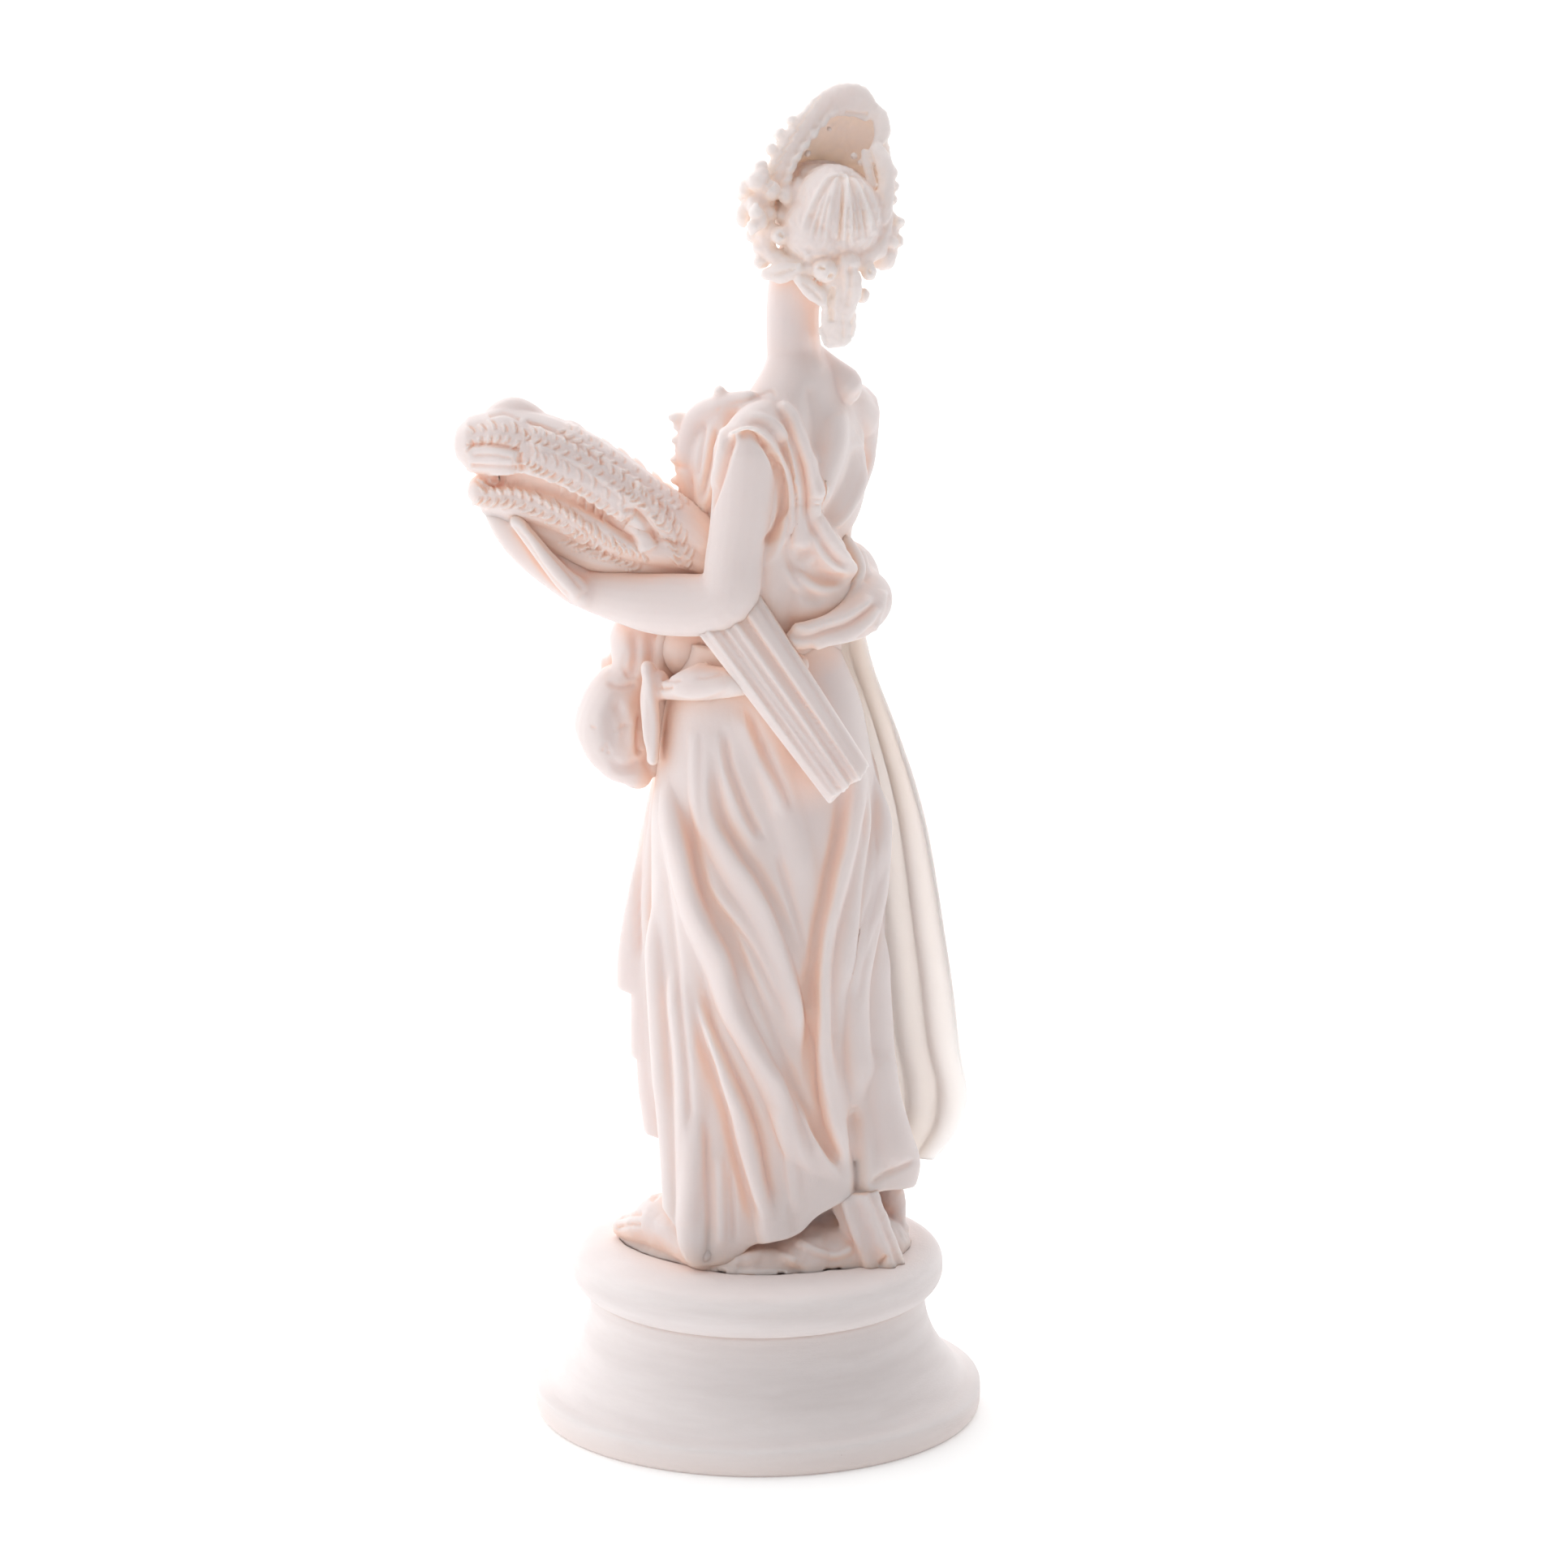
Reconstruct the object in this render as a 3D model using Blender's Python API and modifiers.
"""Alabaster statuette of a draped goddess with a sheaf of wheat, on a turned round plinth.

She faces -Y and her left side is +X. The origin is the centre of the plinth's underside.
Two pieces: the figure, carved in one with her sheaf, cloak, wreath and the ground under her
feet, and the plinth that she stands on. Numbers are millimetres until a mesh is made.
"""

import math

import bpy
import numpy as np

MM = 0.001

# Plinth, turned about +Z
PLINTH_FOOT_RADIUS = 41.75
PLINTH_FOOT_HEIGHT = 4.5
PLINTH_NECK_RADIUS = 31.2
PLINTH_NECK_HEIGHT = 23.3
PLINTH_ROLL_RADIUS = 34.6
ROLL_UPPER_SQUARENESS = 0.72
PLINTH_TOP_HEIGHT = 31.4
PLINTH_SEGMENTS = 40

# Figure
JOINT_GAP = 0.3
GROUND = PLINTH_TOP_HEIGHT + JOINT_GAP
SKIN_VOXEL = 0.9
POLISH_PASSES = 3
FIGURE_TRIANGLES = 8300

# Skirt: distance of the cloth from the plinth's axis, in eight directions from her left (+X)
# round by her back (+Y), at each height
SKIRT_HEIGHTS = (148, 136, 114, 83, 62, 48, 32)
SKIRT_RADII = (
    (13.5, 12.5, 12.5, 14.0, 14.0, 12.5, 12.0, 13.0),
    (17.0, 15.0, 16.5, 19.0, 19.0, 16.5, 15.0, 17.0),
    (19.5, 17.0, 18.5, 23.0, 22.0, 19.0, 18.0, 19.5),
    (20.0, 17.5, 18.5, 23.0, 22.5, 20.5, 20.0, 19.5),
    (20.0, 17.0, 18.5, 25.5, 24.0, 21.5, 20.5, 18.5),
    (20.0, 16.5, 20.0, 30.0, 26.0, 22.5, 20.0, 16.0),
    (20.5, 16.0, 20.5, 24.0, 26.0, 22.5, 19.0, 13.6),
)
HEM_HEIGHTS = (31.0, 37.0, 42.5, 42.3, 39.0, 36.5, 38.0, 41.0)
FOLD_BLEND = 0.35

# Skirt ridges: (height, direction in degrees) from waist to hem, half width, rise, lean
SKIRT_RIDGES = (
    (((126, -22), (115, -3), (94, 25), (73, 52), (60, 72), (46, 96)), 4.2, 2.3, -0.35),
    (((120, 12), (107, 38), (96, 56), (85, 70), (72, 80)), 4.0, 1.6, -0.2),
    (((117, 2), (106, 16), (99, 34), (89, 50), (78, 62)), 3.2, 1.2, 0.0),
    (((86, 8), (80, 16), (70, 29), (60, 40), (49, 45), (36, 54)), 3.6, 2.1, 0.35),
    (((134, 104), (117, 106), (95, 92), (68, 85), (48, 96)), 4.2, 2.0, 0.3),
    (((124, 138), (103, 126), (92, 113), (80, 105), (60, 106)), 3.6, 2.0, 0.2),
    (((96, 136), (75, 126), (60, 122), (42, 128)), 5.0, 1.8, 0.0),
    (((100, -30), (80, -22), (57, -16), (34, -12)), 3.6, 1.6, 0.0),
    (((92, -6), (72, 4), (57, 6), (32, 8)), 3.6, 1.6, 0.0),
    (((136, 60), (126, 58), (112, 70), (100, 78)), 3.2, 1.1, 0.0),
    (((132, 160), (100, 156), (70, 158), (40, 160)), 4.6, 1.8, 0.0),
    (((128, 186), (100, 184), (66, 188), (38, 190)), 4.4, 2.0, 0.2),
    (((126, 212), (96, 206), (64, 212), (36, 214)), 4.6, 2.0, 0.0),
    (((122, 262), (104, 244), (84, 232), (56, 236), (36, 238)), 4.8, 2.2, 0.2),
    (((126, 284), (106, 266), (80, 258), (54, 260), (36, 262)), 4.2, 2.0, 0.0),
    (((124, 298), (90, 284), (60, 282), (38, 284)), 4.0, 2.0, 0.0),
)
# Cascade of the cloak's end down the front left: direction, foot height, half width, rise
CASCADE_PLEATS = ((-66.0, 78.5, 5.2, 8.5), (-62.0, 66.0, 4.6, 5.5), (-60.0, 51.5, 4.4, 4.6))
CASCADE_TOP = 124.0
CASCADE_UNDERCUT = 2.6

# Torso: height, centre x and y, half breadth, half depth, turn to her left in degrees
TORSO = (
    (126, -0.8, 0.8, 12.5, 9.5, 0),
    (138, -1.2, 1.2, 14.6, 11.4, 2),
    (149, -1.8, 1.8, 14.0, 11.2, 4),
    (160, -2.3, 2.3, 14.6, 11.2, 6),
    (171, -3.0, 3.0, 15.6, 11.4, 8),
    (180, -4.1, 4.1, 16.4, 10.8, 9),
    (187, -4.8, 4.8, 16.2, 9.0, 9),
    (193, -5.1, 5.1, 11.6, 7.2, 9),
    (197.5, -5.3, 5.2, 6.9, 5.9, 9),
    (202, -5.3, 4.5, 4.2, 4.1, 9),
)
TORSO_SQUARENESS = 2.3

# Limbs and rolls: x, y, z and radius along the middle
NECK = (
    (-5.2, 5.6, 191, 7.2), (-5.5, 4.8, 197, 5.4), (-5.1, 4.2, 203, 4.9), (-5.2, 4.2, 210, 4.9),
    (-6.8, 5.0, 216, 5.8),
)
NAPE_SLOPE = ((-7.4, 4.5, 202.5, 2.4), (-9.9, 7.1, 198.4, 3.2), (-12.4, 9.6, 195.0, 3.8))
RIGHT_SHOULDER = ((-12, 5.6, 190, 5.0), (-17.0, 4.6, 188.8, 5.4), (-21.4, 2.8, 186.0, 5.5))
LEFT_SHOULDER = ((3, 7.5, 189, 4.8), (8, 8.6, 188.5, 5.2), (11.4, 8.8, 185.5, 5.6))
RIGHT_ARM = (
    (-22.0, 2.2, 187, 5.5), (-22.4, 1.2, 181, 5.4), (-22.6, -0.4, 175, 5.1),
    (-22.6, -2.8, 169.5, 4.8), (-22.4, -6.0, 163, 4.6), (-21.5, -11, 157.5, 4.5),
    (-19.5, -17, 154.5, 4.0), (-16.8, -22.5, 152.5, 3.3), (-13.5, -26, 151, 2.9),
)
LEFT_ARM = (
    (11.6, 8.8, 185.5, 5.9), (12.2, 8.4, 176, 5.5), (13.2, 7.6, 167, 5.2),
    (14.6, 6.2, 158.2, 5.6), (18.8, -4.4, 156.2, 5.7), (22.4, -13.6, 156.8, 4.6),
    (25.5, -21.1, 157.9, 3.4),
)
LEFT_HAND = (
    (25.6, -21.1, 159.0, 4.1, 3.6), (30.0, -26.0, 164.3, 4.3, 3.2), (32.9, -29.6, 168.7, 4.0, 2.8),
    (34.9, -32.1, 172.3, 2.9, 2.2),
)
LEFT_THUMB = (
    (35.5, -27.0, 171.4, 1.4), (33.1, -21.5, 164.6, 1.7), (30.7, -19.1, 160.7, 2.1), (26.9, -17.5, 157.4, 2.6),
)
RIGHT_HAND = (
    (-14.5, -25.2, 151.5, 3.0, 3.0), (-11.0, -28.4, 150.2, 4.2, 2.8), (-7.6, -29.6, 146.0, 3.8, 3.0),
)
HIP_ROLL = (
    (4.9, 14.8, 151.0, 2.0), (-0.7, 17.1, 152.3, 3.2), (-7.5, 17.4, 153.6, 4.4), (-13.9, 14.6, 155.0, 4.7),
    (-17.9, 8.1, 155.6, 4.7), (-22.3, 0, 157.2, 5.2), (-22.0, -11.9, 155.0, 5.2), (-19.5, -18.9, 152.5, 4.2),
)
BACK_SWAG = (
    (-10.4, 13.9, 165.7, 1.7), (-12.2, 17.2, 159.3, 1.9), (-9.5, 18.0, 156.4, 1.8), (-4.7, 18.0, 154.8, 1.6),
    (1.0, 16.8, 154.0, 1.5), (6.4, 14.0, 153.9, 1.4),
)
SWAG_BED = (
    (-14.6, 12.5, 161.3, 3.2), (-13.8, 13.1, 157.5, 3.6), (-5.7, 14.8, 155.3, 3.0), (1.8, 13.1, 154.1, 2.6),
)
SASH = (
    (4, 14.2, 145.5, 2.3), (11.5, 10.2, 143.4, 2.5), (16.0, 1.5, 141.9, 3.1), (17.0, -7.0, 139.4, 1.7),
    (10.5, -15.5, 137.5, 2.4), (0, -17.0, 139.5, 2.6), (-10, -14.5, 143, 2.8), (-17, -9, 147.5, 3.2),
)
STRAP_END = (
    (18.4, -9.9, 143.6, 1.8, 1.4), (19.2, -8.5, 139.5, 2.2, 1.4), (19.1, -7.8, 133.4, 2.3, 1.4),
    (19.2, -7.9, 126.8, 2.1, 1.4),
)
FRONT_GATHER = (
    (13.3, -16.1, 151.0, 3.4), (14.3, -17.1, 145.9, 4.6), (14.6, -17.4, 140.6, 4.3), (16.8, -18.9, 134.7, 6.2),
    (17.3, -19.4, 129.3, 6.9), (16.1, -17.5, 124.5, 5.4), (15.6, -15.6, 121.9, 2.8),
)
BUST_EDGE = (
    (6.8, 4.5, 194.5, 2.2), (8.8, -0.4, 192.8, 2.6), (10.0, -5.0, 190.1, 2.7), (10.2, -6.7, 184.6, 2.6),
    (10.4, -6.9, 178.4, 2.4), (10.3, -4.7, 173.3, 2.2),
)
BUST_FILL = ((8.2, 0.3, 190.7, 3.4), (9.3, -1.5, 184.4, 3.9), (9.5, -1.8, 177.2, 3.6), (9.8, -2.0, 171.6, 3.0))

# Cloak hung over her right forearm: height, then x and y of the edge tucked against the skirt,
# of the front bend and of the free rear edge, then half thickness
CLOAK_FALL = (
    (156, -17.6, -14.6, -21.0, -15.0, -15.6, 9.6, 1.6),
    (149, -15.0, -15.6, -23.0, -16.0, -16.6, 10.6, 1.5),
    (140, -12.4, -17.0, -24.5, -17.5, -18.6, 11.6, 1.4),
    (127, -9.6, -18.0, -25.5, -18.0, -23.0, 13.6, 1.3),
    (108, -8.0, -19.0, -27.0, -18.5, -28.4, 16.4, 1.3),
    (83, -7.0, -20.0, -28.0, -18.5, -31.4, 18.8, 1.3),
    (66, -6.5, -21.0, -28.5, -18.0, -32.8, 19.6, 1.3),
    (57, -6.0, -21.5, -28.5, -16.5, -34.4, 20.2, 1.3),
    (50, -6.0, -21.5, -28.0, -13.0, -33.0, 19.0, 1.3),
    (45, -6.0, -21.5, -27.0, -10.0, -29.0, 17.0, 1.3),
)
CLOAK_BELLY = 4.5
CLOAK_PLEATS = 5
CLOAK_PLEAT_RISE = 1.1

# Wheat sheaf: ears fan forward over her left forearm, and the cut stalks hang behind her elbow
STALKS_TOP = (14.5, 4.2, 158.5)
STALKS_END = (2.2, 25.9, 124.9)
STALKS_WIDTH = (6.8, 5.0)
STALKS_DEPTH = (3.8, 3.2)
STALK_FLUTES = 7
UPPER_EARS = (
    (12.0, -0.7, 168.0, 3.6), (13.7, -3.8, 170.5, 4.2), (18.3, -9.8, 174.1, 5.2), (23.5, -17.2, 179.1, 6.3),
    (29.2, -24.2, 183.3, 6.9), (34.3, -30.8, 185.1, 7.0), (36.8, -33.9, 185.1, 5.8),
)
LOWER_EARS = (
    (12.0, -0.7, 164.4, 3.2), (14.1, -3.5, 166.0, 3.5), (19.7, -10.5, 168.0, 4.2), (25.0, -17.9, 171.6, 4.6),
    (29.6, -23.9, 174.3, 4.6), (34.1, -29.8, 175.6, 4.2), (37.1, -33.6, 176.3, 3.3),
)
SHEAF_BED = (
    (12.0, -4.9, 162.1, 3.6), (19.4, -14.5, 163.7, 4.0), (25.5, -22.6, 166.5, 4.4), (30.8, -28.6, 170.5, 4.0),
    (35.0, -32.9, 173.6, 3.0),
)
TOP_LEAF = (
    (35.7, -34.3, 188.0, 2.6), (32.9, -31.5, 190.7, 2.9), (30.9, -28.8, 190.4, 2.4), (28.0, -25.2, 186.8, 2.0),
)
EARS = (
    ((12.0, -7.0, 171.0), (21.0, -20.4, 180.2), (31.0, -33.0, 188.4), 2.9),
    ((8.5, -11.0, 170.0), (15.4, -21.8, 179.0), (25.0, -33.2, 185.8), 2.8),
    ((11, -14, 165), (18.4, -24.8, 174), (28.5, -36.4, 183.2), 2.8),
    ((12, -17, 163), (20.8, -26.8, 170), (31, -37.4, 178.2), 3.0),
    ((20, -16, 160), (27.8, -25.3, 166.4), (35.6, -35.0, 174.6), 2.8),
)

# Head: skull centre; turned and tipped to her right, bowed a little
HEAD_CENTRE = (-11.4, 6.8, 223.5)
HEAD_TURN = -30.0
HEAD_TIP = -11.0
HEAD_BOW = 2.0
WREATH_BLOOMS = 22
DIADEM_RADIUS = 11.3
DIADEM_PEAK = 25.3
DIADEM_SIDE = 2.0
DIADEM_LEAN = 3.4
DIADEM_HALF = 1.3
DIADEM_SLOPES = (0.78, 1.1)
DIADEM_SWAY = (1.0, -0.11)
WREATH_RADIUS = 12.4
WREATH_SHIFT = 1.6
WREATH_DROP = 8.0
WREATH_RISE = 4.6
WREATH_STEM = 2.2

# In the head's own frame, centre then half sizes: skull, hair behind, face, jaw, brow, lips,
# and the waves of hair over the forehead and temples
HEAD_FORMS = (
    ((0, 1.0, 1.8), (8.2, 9.6, 9.4)), ((0, 2.6, 2.0), (8.9, 8.9, 9.4)),
    ((0, -3.6, -4.4), (7.0, 6.6, 9.4)), ((0, -4.6, -9.8), (4.6, 4.8, 4.4)),
    ((0, -6.6, 0.4), (5.8, 3.4, 3.6)), ((0, -9.2, -8.2), (2.4, 1.2, 1.1)),
    ((-6.6, -3.2, 1.0), (3.6, 6.0, 6.8)), ((6.6, -3.2, 1.0), (3.6, 6.0, 6.8)),
    ((0, -5.6, 6.4), (7.6, 5.0, 3.4)),
)
NOSE = ((0, -9.4, -0.6, 0.8), (0, -10.6, -3.2, 1.0), (0, -11.2, -5.0, 1.25))

# Ribbon of hair that hangs behind the neck
RIBBON = (
    (-5.8, 14.3, 218.0, 2.2, 1.2), (-5.9, 14.5, 213.0, 2.5, 1.2), (-6.2, 14.1, 208.2, 2.8, 1.2),
    (-6.9, 14.2, 204.9, 2.6, 1.2),
)

# Chest, shoulder blades, belly and the gathered dress over her left breast
BODY_FORMS = (
    ((4.2, -4.2, 175), (6.0, 6.2, 6.2), 0), ((-8.8, -5.8, 175), (6.0, 6.2, 6.2), 0),
    ((-6.5, 11.0, 178), (11, 5, 13), 9), ((1, -7.5, 146), (14, 9.5, 9), 0),
    ((5.4, -2.8, 182), (7.2, 7.6, 9.5), 0), ((-2.2, -3.4, 177), (13.5, 6.6, 11), 4),
    ((-2.0, -3.4, 163), (13.5, 8.2, 12), 4),
)
# Bunched cloth that hangs from the front of the sash
GATHER_FORMS = (
    ((14.6, -24.0, 131.5), (4.0, 3.6, 7.2)), ((10.4, -24.6, 133.5), (3.6, 3.4, 7.6)),
    ((12.6, -24.0, 140.5), (3.0, 2.8, 3.4)),
)

# Ground: mounds, as centre and half sizes; feet from heel to toe; fluted support by the rear foot
MOUNDS = (
    ((-4, 1.5, 31.0), (22.5, 19.0, 6.0)), ((-9, 14.5, 30.6), (14.0, 10.0, 6.2)),
    ((-2.5, 13.5, 30.6), (12.0, 7.8, 5.8)), ((15.0, -8, 30.8), (4.6, 13.0, 1.8)),
)
LEFT_FOOT = (
    (17, 3, 34.0, 3.8, 3.2), (15.8, -8, 37.0, 4.0, 5.6), (14.6, -15.5, 34.6, 4.2, 3.4),
    (13.9, -20.4, 33.5, 3.5, 2.3),
)
RIGHT_FOOT = (
    (-18.6, 18.0, 34.0, 2.6, 2.2), (-19.6, 10, 35.5, 3.4, 3.4), (-21.0, -2, 33.8, 4.2, 2.2),
    (-22.0, -10, 33.0, 3.6, 1.5),
)
RIGHT_ANKLE = ((-18.6, 17.6, 33.4, 2.0), (-19.2, 16.8, 38, 2.3), (-19.0, 14.0, 46, 3.4))
LEFT_ANKLE = ((16.0, -1.5, 36, 3.6), (15.0, -1.0, 50, 4.2))
SUPPORT = ((-7.4, 24.8, 31.0), (-5.2, 19.6, 45.0))
SUPPORT_WIDTH = 4.3
SUPPORT_DEPTH = 3.0


def curve_through(points, samples):
    """Smooth curve through the control rows, whatever their number of columns."""
    rows = np.asarray(points, float)
    padded = np.vstack([2 * rows[0] - rows[1], rows, 2 * rows[-1] - rows[-2]])
    place = np.linspace(0, len(rows) - 1, samples)
    start = np.minimum(place.astype(int), len(rows) - 2)
    part = (place - start)[:, None]
    before, here, after, beyond = (padded[start + k] for k in range(4))
    return 0.5 * (
        2 * here
        + (after - before) * part
        + (2 * before - 5 * here + 4 * after - beyond) * part**2
        + (3 * here - before - 3 * after + beyond) * part**3
    )


def smoothstep(low, high, value):
    part = np.clip((value - low) / (high - low), 0, 1)
    return part * part * (3 - 2 * part)


def loft(rings):
    """Closed skin over a stack of rings, each a loop of the same number of points."""
    rings = np.asarray(rings, float)
    count, around = rings.shape[:2]
    verts = np.vstack([rings.reshape(-1, 3), rings[0].mean(0), rings[-1].mean(0)])
    first, last = count * around, count * around + 1
    faces = []
    for i in range(count - 1):
        for j in range(around):
            a, b = i * around + j, i * around + (j + 1) % around
            faces.append((a, b, b + around, a + around))
    top = (count - 1) * around
    for j in range(around):
        following = (j + 1) % around
        faces.append((first, following, j))
        faces.append((last, top + j, top + following))
    return verts, faces


def limb(points, rings=20, sides=14, flat=(0, 0, 1)):
    """Round-ended tube; rows are x, y, z, radius, or x, y, z, half width, half depth."""
    rows = curve_through(points, rings)
    axis, across, depth = rows[:, :3], rows[:, 3], rows[:, -1]
    tangent = np.gradient(axis, axis=0)
    tangent /= np.linalg.norm(tangent, axis=1)[:, None]
    side = np.cross(tangent, np.asarray(flat, float))
    side /= np.linalg.norm(side, axis=1)[:, None]
    up = np.cross(side, tangent)
    angle = np.linspace(0, math.tau, sides, endpoint=False)
    cos, sin = np.cos(angle)[None, :, None], np.sin(angle)[None, :, None]
    wide, deep = across[:, None, None], depth[:, None, None]
    body = axis[:, None] + side[:, None] * cos * wide + up[:, None] * sin * deep
    caps = []
    for end, sign in ((0, -1), (-1, 1)):
        reach = min(across[end], depth[end])
        cap = []
        for lift in (30, 60, 84):
            tilt = math.radians(lift)
            centre = axis[end] + tangent[end] * sign * reach * math.sin(tilt)
            cap.append(centre + (body[end] - axis[end]) * math.cos(tilt))
        caps.append(cap)
    return loft(caps[0][::-1] + list(body) + caps[1])


def egg(centre, radii, turn=0.0, tip=0.0):
    """Ellipsoid, tipped about Y and then turned about Z by angles in degrees."""
    across = np.linspace(0, math.tau, 20, endpoint=False)
    down = np.linspace(0, math.pi, 13)[1:-1]
    ring = np.stack([np.cos(across), np.sin(across), np.zeros(20)], 1)
    rings = [ring * math.sin(a) + (0, 0, -math.cos(a)) for a in down]
    verts, faces = loft(rings)
    verts[-2], verts[-1] = (0, 0, -1), (0, 0, 1)
    return turned(verts * radii, tip, turn) + centre, faces


def turned(verts, tip, turn, bow=0.0):
    """Rotate about X by bow, about Y by tip, then about Z by turn, in degrees."""
    b, p, t = (math.radians(a) for a in (bow, tip, turn))
    about_x = np.array([[1, 0, 0], [0, math.cos(b), -math.sin(b)], [0, math.sin(b), math.cos(b)]])
    about_y = np.array([[math.cos(p), 0, math.sin(p)], [0, 1, 0], [-math.sin(p), 0, math.cos(p)]])
    about_z = np.array([[math.cos(t), -math.sin(t), 0], [math.sin(t), math.cos(t), 0], [0, 0, 1]])
    return verts @ (about_z @ about_y @ about_x).T


def around_table(table, direction):
    """Smooth value at a direction in degrees from eight values given every 45 degrees."""
    table = np.asarray(table, float)
    place = (direction % 360) / 45
    start = place.astype(int)
    part = place - start
    before, here, after, beyond = (table[..., (start + k) % 8] for k in (-1, 0, 1, 2))
    return 0.5 * (
        2 * here
        + (after - before) * part
        + (2 * before - 5 * here + 4 * after - beyond) * part**2
        + (3 * here - before - 3 * after + beyond) * part**3
    )


def angle_apart(direction, other):
    return (direction - other + 180) % 360 - 180


def skirt_folds(direction, height, radius):
    """How far the folds lift the cloth, blended so that each valley is a soft crease."""
    lifted = np.ones_like(direction)
    for path, half_width, rise, lean in SKIRT_RIDGES:
        rows = curve_through(path, 40)
        middle = np.interp(height, rows[::-1, 0], rows[::-1, 1])
        offset = np.radians(angle_apart(direction, middle)) * radius
        width = half_width * np.where(offset > 0, 1 + lean, 1 - lean)
        top, foot = path[0][0], path[-1][0]
        fade = smoothstep(top + 4, top - 12, height)
        if foot > 44:
            fade = fade * smoothstep(foot - 4, foot + 10, height)
        lifted += np.exp(rise * (1.6 * fade - 0.6 - (offset / width) ** 2) / FOLD_BLEND)
    for centre, foot, half_width, rise in CASCADE_PLEATS:
        drop = smoothstep(CASCADE_TOP + 4, foot, height)
        hanging = smoothstep(foot - CASCADE_UNDERCUT, foot, height)
        offset = np.radians(angle_apart(direction, centre)) * radius
        width = half_width * (0.45 + 0.55 * drop)
        height_here = rise * (0.25 + 0.75 * drop) * hanging
        lifted += np.exp((height_here - 2.0 * (offset / width) ** 2 * rise) / FOLD_BLEND)
    return FOLD_BLEND * np.log(lifted)


def skirt(rows=64, columns=120):
    direction = np.linspace(0, 360, columns, endpoint=False)
    hem = around_table(HEM_HEIGHTS, direction)
    by_height = around_table(SKIRT_RADII, direction)
    rings = []
    for part in np.linspace(0, 1, rows):
        height = SKIRT_HEIGHTS[0] + (hem - SKIRT_HEIGHTS[0]) * part
        radius = np.array([
            np.interp(h, SKIRT_HEIGHTS[::-1], by_height[::-1, k]) for k, h in enumerate(height)
        ])
        radius = radius + skirt_folds(direction, height, radius)
        angle = np.radians(direction)
        rings.append(np.stack([radius * np.cos(angle), radius * np.sin(angle), height], 1))
    rings.append(rings[-1] * (0.86, 0.86, 1))
    return loft(rings[::-1])


def torso():
    rows = curve_through(TORSO, 28)
    angle = np.linspace(0, math.tau, 40, endpoint=False)
    power = 2 / TORSO_SQUARENESS
    x = np.sign(np.cos(angle)) * np.abs(np.cos(angle)) ** power
    y = np.sign(np.sin(angle)) * np.abs(np.sin(angle)) ** power
    rings = []
    for height, cx, cy, breadth, depth, turn in rows:
        ring = np.stack([x * breadth, y * depth, np.zeros(40)], 1)
        rings.append(turned(ring, 0, turn) + (cx, cy, height))
    return loft(rings)


def upper_body():
    return [
        torso(), limb(NECK, flat=(0, 1, 0)), limb(NAPE_SLOPE, rings=14),
        limb(RIGHT_SHOULDER, flat=(0, 1, 0)), limb(LEFT_SHOULDER, flat=(0, 1, 0)),
        limb(RIGHT_ARM, rings=30, flat=(1, 0.2, 0)), limb(LEFT_ARM, rings=30, flat=(1, 0.2, 0)),
    ] + [egg(centre, radii, turn) for centre, radii, turn in BODY_FORMS]


def hands():
    return [
        limb(LEFT_HAND, rings=14, flat=(0.7, 0.7, 0.1)), limb(LEFT_THUMB, rings=10),
        limb(RIGHT_HAND, rings=12),
    ]


def drapery():
    return [
        limb(HIP_ROLL, rings=36), limb(BACK_SWAG, rings=20), limb(SWAG_BED, rings=16), limb(SASH, rings=36),
        limb(STRAP_END, rings=16, flat=(-1, 1, 0)), limb(FRONT_GATHER, rings=30, flat=(1, 0.4, 0)),
        limb(BUST_EDGE, rings=20, flat=(1, 0, 0)), limb(BUST_FILL, rings=16, flat=(1, 0, 0)), cloak_fall(),
    ] + [egg(centre, radii) for centre, radii in GATHER_FORMS]


def cloak_fall(rows=40, columns=60):
    """Sheet of cloth drawn round her right side, pleated, open to the back, with some thickness."""
    levels = curve_through(CLOAK_FALL, rows)
    across = np.linspace(0, 1, columns)
    rings = []
    for level in levels:
        height, half = level[0], level[-1]
        tuck, front, rear = level[1:-1].reshape(3, 2)
        slack = smoothstep(156, 120, height)
        run = rear - front
        outward = np.array([-run[1], run[0]]) / np.linalg.norm(run)
        belly = (front + rear) / 2 + outward * CLOAK_BELLY * slack
        middle = curve_through((tuck, front, belly, rear), columns)
        along = np.gradient(middle, axis=0)
        normal = np.stack([-along[:, 1], along[:, 0]], 1)
        normal /= np.linalg.norm(normal, axis=1)[:, None]
        pleat = CLOAK_PLEAT_RISE * slack * np.cos(math.tau * CLOAK_PLEATS * across**1.3)
        middle = middle + pleat[:, None] * normal
        thick = half * np.sqrt(np.clip(1 - (2 * across - 1) ** 6, 0.02, 1))
        outer = middle + thick[:, None] * normal
        inner = middle - thick[:, None] * normal
        loop = np.vstack([outer, inner[::-1]])
        rings.append(np.column_stack([loop, np.full(len(loop), height)]))
    return loft(rings[::-1])


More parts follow.
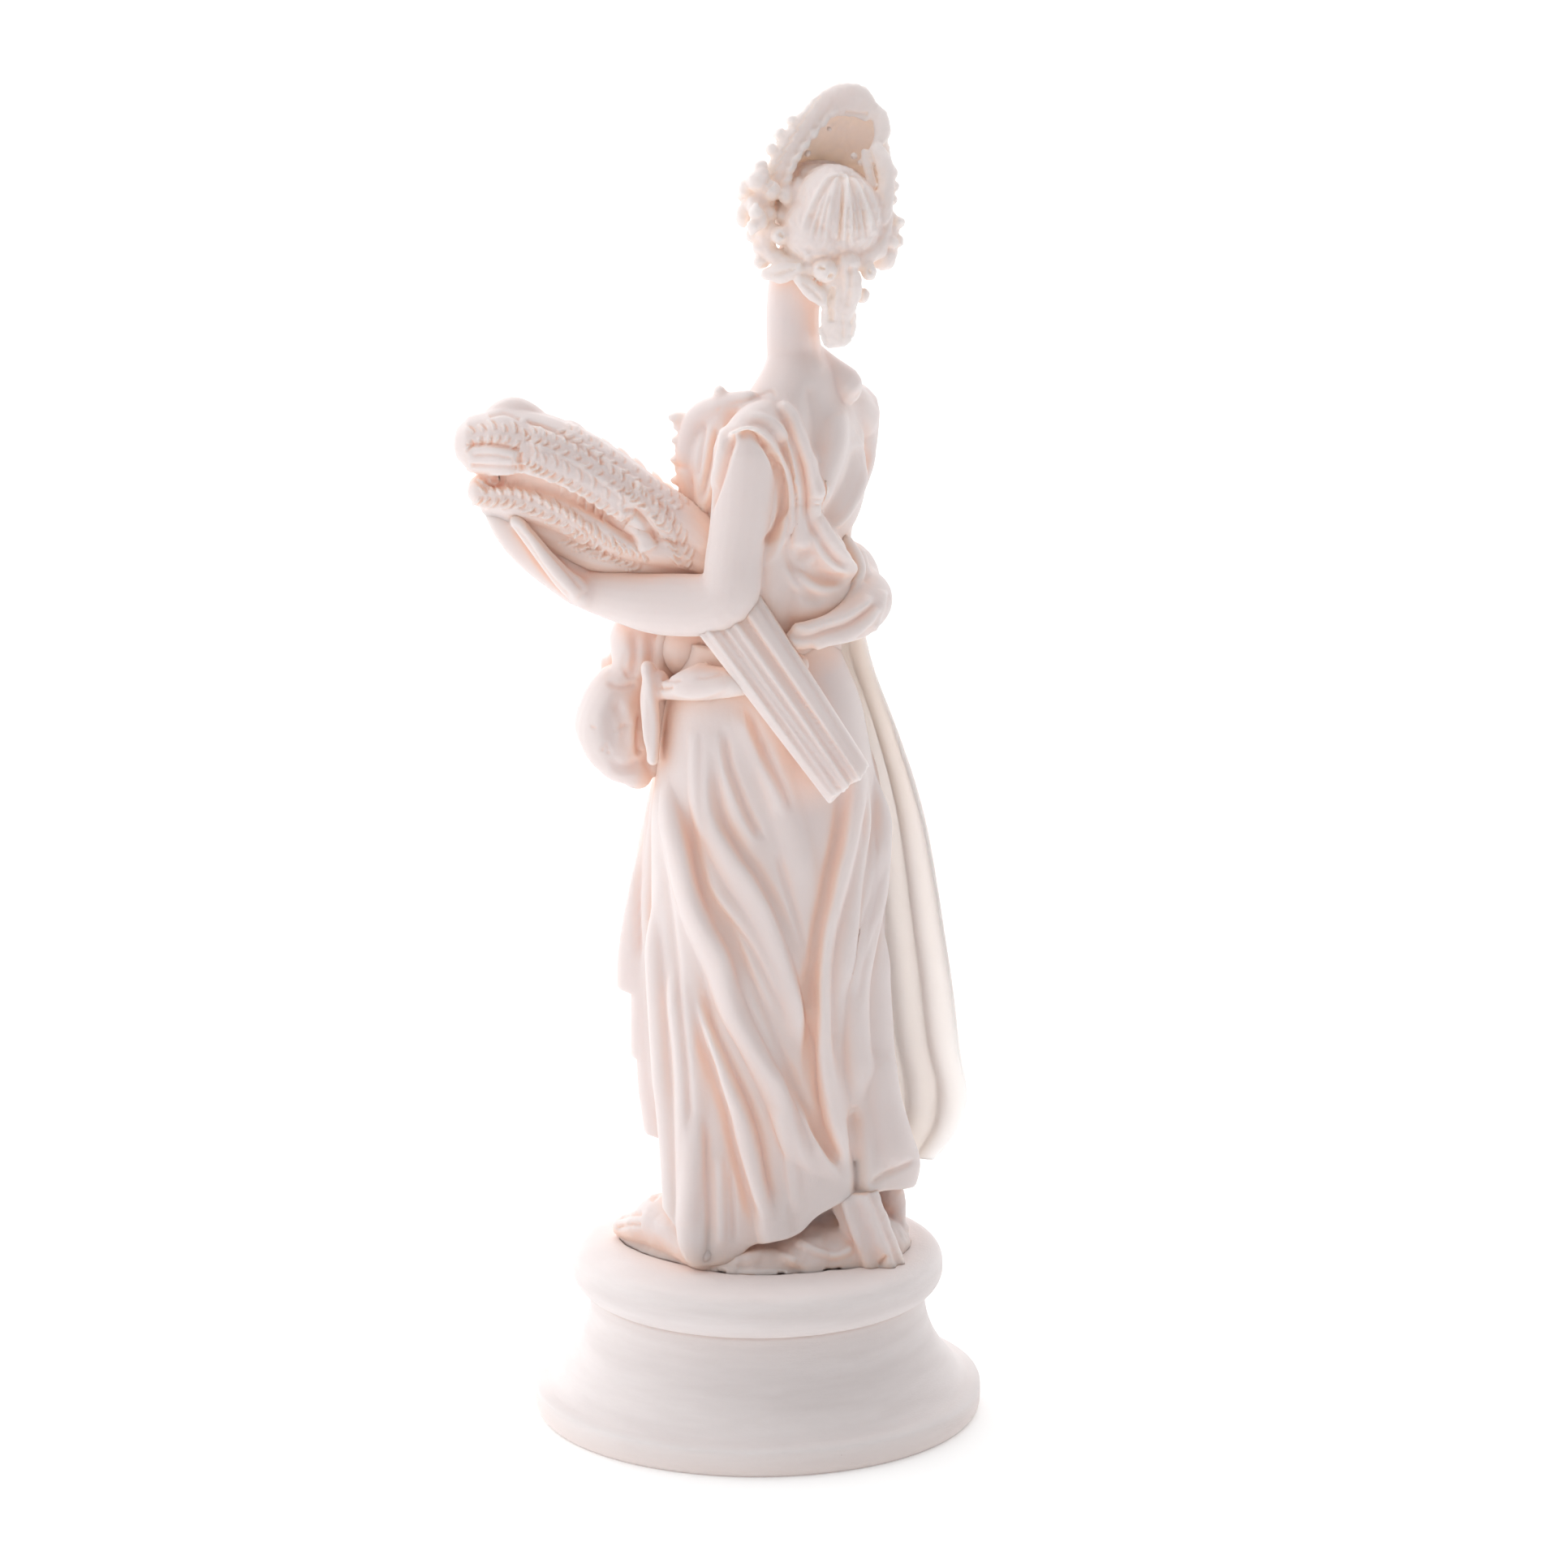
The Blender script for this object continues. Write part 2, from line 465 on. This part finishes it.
def stalks(rows=14, around=56):
    """Flat fluted bundle of stalks, cut square at its lower end."""
    top, end = np.array(STALKS_TOP), np.array(STALKS_END)
    along = (end - top) / np.linalg.norm(end - top)
    outward = np.array([0.62, 0.72, 0.0])
    outward -= along * outward.dot(along)
    outward /= np.linalg.norm(outward)
    across = np.cross(along, outward)
    angle = np.linspace(0, math.tau, around, endpoint=False)
    flute = 1 + 0.09 * np.cos(angle * STALK_FLUTES * 2)
    rings = []
    for part in np.linspace(0, 1, rows):
        centre = top + (end - top) * part
        width = np.interp(part, (0, 1), STALKS_WIDTH)
        depth = np.interp(part, (0, 1), STALKS_DEPTH) * flute
        x = np.sign(np.cos(angle)) * np.abs(np.cos(angle)) ** 0.7 * width
        y = np.sign(np.sin(angle)) * np.abs(np.sin(angle)) ** 0.7 * depth
        rings.append(centre + x[:, None] * across + y[:, None] * outward)
    return loft(rings)


def ear(start, middle, tip, radius):
    """One ear of wheat, swollen by its rows of grain."""
    path = curve_through((start, middle, tip), 22)
    part = np.linspace(0, 1, 22)
    swell = radius * (0.75 + 0.35 * np.sin(math.pi * part) - 0.35 * part**3)
    swell *= 1 + 0.13 * np.cos(math.tau * 7 * part)
    return limb(np.column_stack([path, swell]), rings=22, sides=10)


def sheaf():
    banks = [limb(UPPER_EARS, rings=24), limb(LOWER_EARS, rings=24), limb(SHEAF_BED), limb(TOP_LEAF, rings=12)]
    return [stalks()] + banks + [ear(*row) for row in EARS]


def head_frame(verts):
    return turned(np.asarray(verts, float), HEAD_TIP, HEAD_TURN, HEAD_BOW) + HEAD_CENTRE


def placed(form):
    verts, faces = form
    return head_frame(verts), faces


def diadem(columns=44, rows=12):
    """Tall pointed band behind the wreath, open to the back and leaning over the crown."""
    rings = []
    for from_front in np.radians(np.linspace(-92, 92, columns)):
        front = max(math.cos(from_front), 0)
        slope = DIADEM_SLOPES[1] if from_front > 0 else DIADEM_SLOPES[0]
        top = DIADEM_SIDE + (DIADEM_PEAK - DIADEM_SIDE) * min(1.05 * front, 1) ** slope
        foot = -2.5 + 6.0 * front
        rise = np.linspace(0, 1, rows)
        middle = DIADEM_RADIUS - DIADEM_LEAN * front * rise**1.5
        reach = np.concatenate([middle + DIADEM_HALF, (middle - DIADEM_HALF)[::-1]])
        height = foot + (top - foot) * np.concatenate([rise, rise[::-1]])
        sway = DIADEM_SWAY[0] + DIADEM_SWAY[1] * height
        loop = (reach * math.sin(from_front) + sway, 1 - reach * math.cos(from_front), height)
        rings.append(np.stack(loop, 1))
    return loft(rings)


def wreath():
    """Ring of leaves, flowers and berries round the head, lower at the nape."""
    forms = []
    for k in range(WREATH_BLOOMS):
        angle = math.tau * k / WREATH_BLOOMS
        back = math.sin(angle)
        radius = WREATH_RADIUS + 0.9 * math.cos(3 * k)
        size = 2.5 + 0.6 * math.sin(2.4 * k)
        depth, drop = (0.86, WREATH_DROP) if back > 0 else (1.16, WREATH_RISE)
        height = 1.0 - drop * back + 1.2 * math.cos(5 * k)
        centre = (radius * math.cos(angle) + WREATH_SHIFT, radius * back * depth + 0.5, height)
        forms.append(egg(centre, (size, size, size * 0.9)))
    return forms


def wreath_ring(bends=24):
    """Twisted stem that carries the wreath."""
    angle = np.linspace(0, math.tau, bends)
    back = np.sin(angle)
    x = WREATH_RADIUS * np.cos(angle) + WREATH_SHIFT
    y = WREATH_RADIUS * back * np.where(back > 0, 0.86, 1.0) + 0.5
    z = 1.0 - back * np.where(back > 0, WREATH_DROP, WREATH_RISE)
    return limb(np.column_stack([x, y, z, np.full(bends, WREATH_STEM)]), rings=48, sides=10)


def head():
    forms = [egg(centre, radii) for centre, radii in HEAD_FORMS]
    forms.append(limb(NOSE, rings=8, sides=8, flat=(1, 0, 0)))
    forms += [diadem(), wreath_ring()] + wreath()
    return [placed(form) for form in forms] + [limb(RIBBON, rings=12, flat=(0.7, 0.7, 0.1))]


def fluted_support(rows=8, around=24, flutes=6):
    """Short fluted trunk that holds the hem up behind her right foot."""
    base, top = np.array(SUPPORT[0]), np.array(SUPPORT[1])
    angle = np.linspace(0, math.tau, around, endpoint=False)
    swell = 1 + 0.14 * np.cos(flutes * angle)
    x, y = SUPPORT_WIDTH * swell * np.cos(angle), SUPPORT_DEPTH * swell * np.sin(angle)
    loop = turned(np.stack([x, y, np.zeros(around)], 1), 0, 135)
    return loft([loop + base + (top - base) * part for part in np.linspace(0, 1, rows)])


def ground_and_feet():
    return [egg(centre, radii) for centre, radii in MOUNDS] + [
        limb(LEFT_FOOT, rings=16), limb(RIGHT_FOOT, rings=16), limb(RIGHT_ANKLE, flat=(1, 0, 0)),
        limb(LEFT_ANKLE, flat=(1, 0, 0)), fluted_support(),
    ]


def mesh_of(name, forms):
    """One mesh, in metres, holding every form."""
    verts, faces, start = [], [], 0
    for form_verts, form_faces in forms:
        verts.append(form_verts)
        faces += [tuple(start + i for i in face) for face in form_faces]
        start += len(form_verts)
    mesh = bpy.data.meshes.new(name)
    mesh.from_pydata((np.vstack(verts) * MM).tolist(), [], faces)
    mesh.update()
    return mesh


def material(name, colour, roughness):
    made = bpy.data.materials.new(name)
    made.use_nodes = True
    shader = made.node_tree.nodes["Principled BSDF"]
    shader.inputs["Base Color"].default_value = (*colour, 1)
    shader.inputs["Roughness"].default_value = roughness
    shader.inputs["Metallic"].default_value = 0.0
    return made


def build_figure(parts, cutters):
    forms = [skirt()] + upper_body() + hands() + drapery() + sheaf() + head() + ground_and_feet()
    figure = bpy.data.objects.new("goddess", mesh_of("goddess", forms))
    parts.objects.link(figure)
    figure.data.materials.append(material("alabaster_figure", (0.90, 0.80, 0.75), 0.55))

    skin = figure.modifiers.new("skin", "REMESH")
    skin.mode = "VOXEL"
    skin.voxel_size = SKIN_VOXEL * MM
    polish = figure.modifiers.new("polish", "SMOOTH")
    polish.factor = 0.5
    polish.iterations = POLISH_PASSES

    bpy.context.view_layer.update()
    dense = figure.evaluated_get(bpy.context.evaluated_depsgraph_get()).data
    dense.calc_loop_triangles()
    thin = figure.modifiers.new("thin", "DECIMATE")
    thin.ratio = FIGURE_TRIANGLES / len(dense.loop_triangles)

    bpy.ops.mesh.primitive_cube_add(size=200 * MM, location=(0, 0, (GROUND - 100) * MM))
    below = bpy.context.active_object
    below.name = "ground_plane"
    below.hide_render = True
    below.display_type = "WIRE"
    for collection in list(below.users_collection):
        collection.objects.unlink(below)
    cutters.objects.link(below)
    level = figure.modifiers.new("level", "BOOLEAN")
    level.operation = "DIFFERENCE"
    level.object = below
    figure.data.shade_smooth()
    return figure


def plinth_profile():
    """Radius and height down the outer side, from the axis on top to the axis below."""
    middle = (PLINTH_NECK_HEIGHT + PLINTH_TOP_HEIGHT) / 2
    half = (PLINTH_TOP_HEIGHT - PLINTH_NECK_HEIGHT) / 2
    inner = PLINTH_ROLL_RADIUS - half
    points = [(0, PLINTH_TOP_HEIGHT), (inner, PLINTH_TOP_HEIGHT)]
    for degrees in (70, 50, 30, 10, -14, -38, -62, -82):
        turn = math.radians(degrees)
        squareness = ROLL_UPPER_SQUARENESS if degrees > 0 else 1.0
        reach, rise = math.cos(turn) ** squareness, abs(math.sin(turn)) ** squareness
        points.append((inner + half * reach, middle + math.copysign(half * rise, turn)))
    points.append((PLINTH_NECK_RADIUS, PLINTH_NECK_HEIGHT))
    rise = PLINTH_NECK_HEIGHT - PLINTH_FOOT_HEIGHT
    flare = PLINTH_FOOT_RADIUS - PLINTH_NECK_RADIUS
    for part in (0.2, 0.4, 0.55, 0.68, 0.8, 0.9):
        spread = part**2.4 * (1 - 0.12 * part)
        points.append((PLINTH_NECK_RADIUS + flare * spread, PLINTH_NECK_HEIGHT - rise * part))
    points.append((PLINTH_FOOT_RADIUS - 0.3, PLINTH_FOOT_HEIGHT + 0.6))
    points.append((PLINTH_FOOT_RADIUS, PLINTH_FOOT_HEIGHT))
    points += [(PLINTH_FOOT_RADIUS, 1.0), (PLINTH_FOOT_RADIUS - 0.8, 0.0), (0, 0.0)]
    return points


def build_plinth(parts):
    points = plinth_profile()
    mesh = bpy.data.meshes.new("plinth")
    edges = [(i, i + 1) for i in range(len(points) - 1)]
    mesh.from_pydata([(r * MM, 0, z * MM) for r, z in points], edges, [])
    plinth = bpy.data.objects.new("plinth", mesh)
    parts.objects.link(plinth)
    plinth.data.materials.append(material("alabaster_plinth", (0.86, 0.78, 0.76), 0.6))
    turn = plinth.modifiers.new("turn", "SCREW")
    turn.steps = PLINTH_SEGMENTS
    turn.render_steps = PLINTH_SEGMENTS
    turn.use_merge_vertices = True
    turn.merge_threshold = 0.00001
    return plinth


def main():
    for old in list(bpy.data.objects):
        bpy.data.objects.remove(old)
    scene = bpy.context.scene.collection
    parts = bpy.data.collections.new("alabaster_goddess_statue")
    cutters = bpy.data.collections.new("cutters")
    scene.children.link(parts)
    scene.children.link(cutters)
    build_plinth(parts)
    build_figure(parts, cutters)


main()
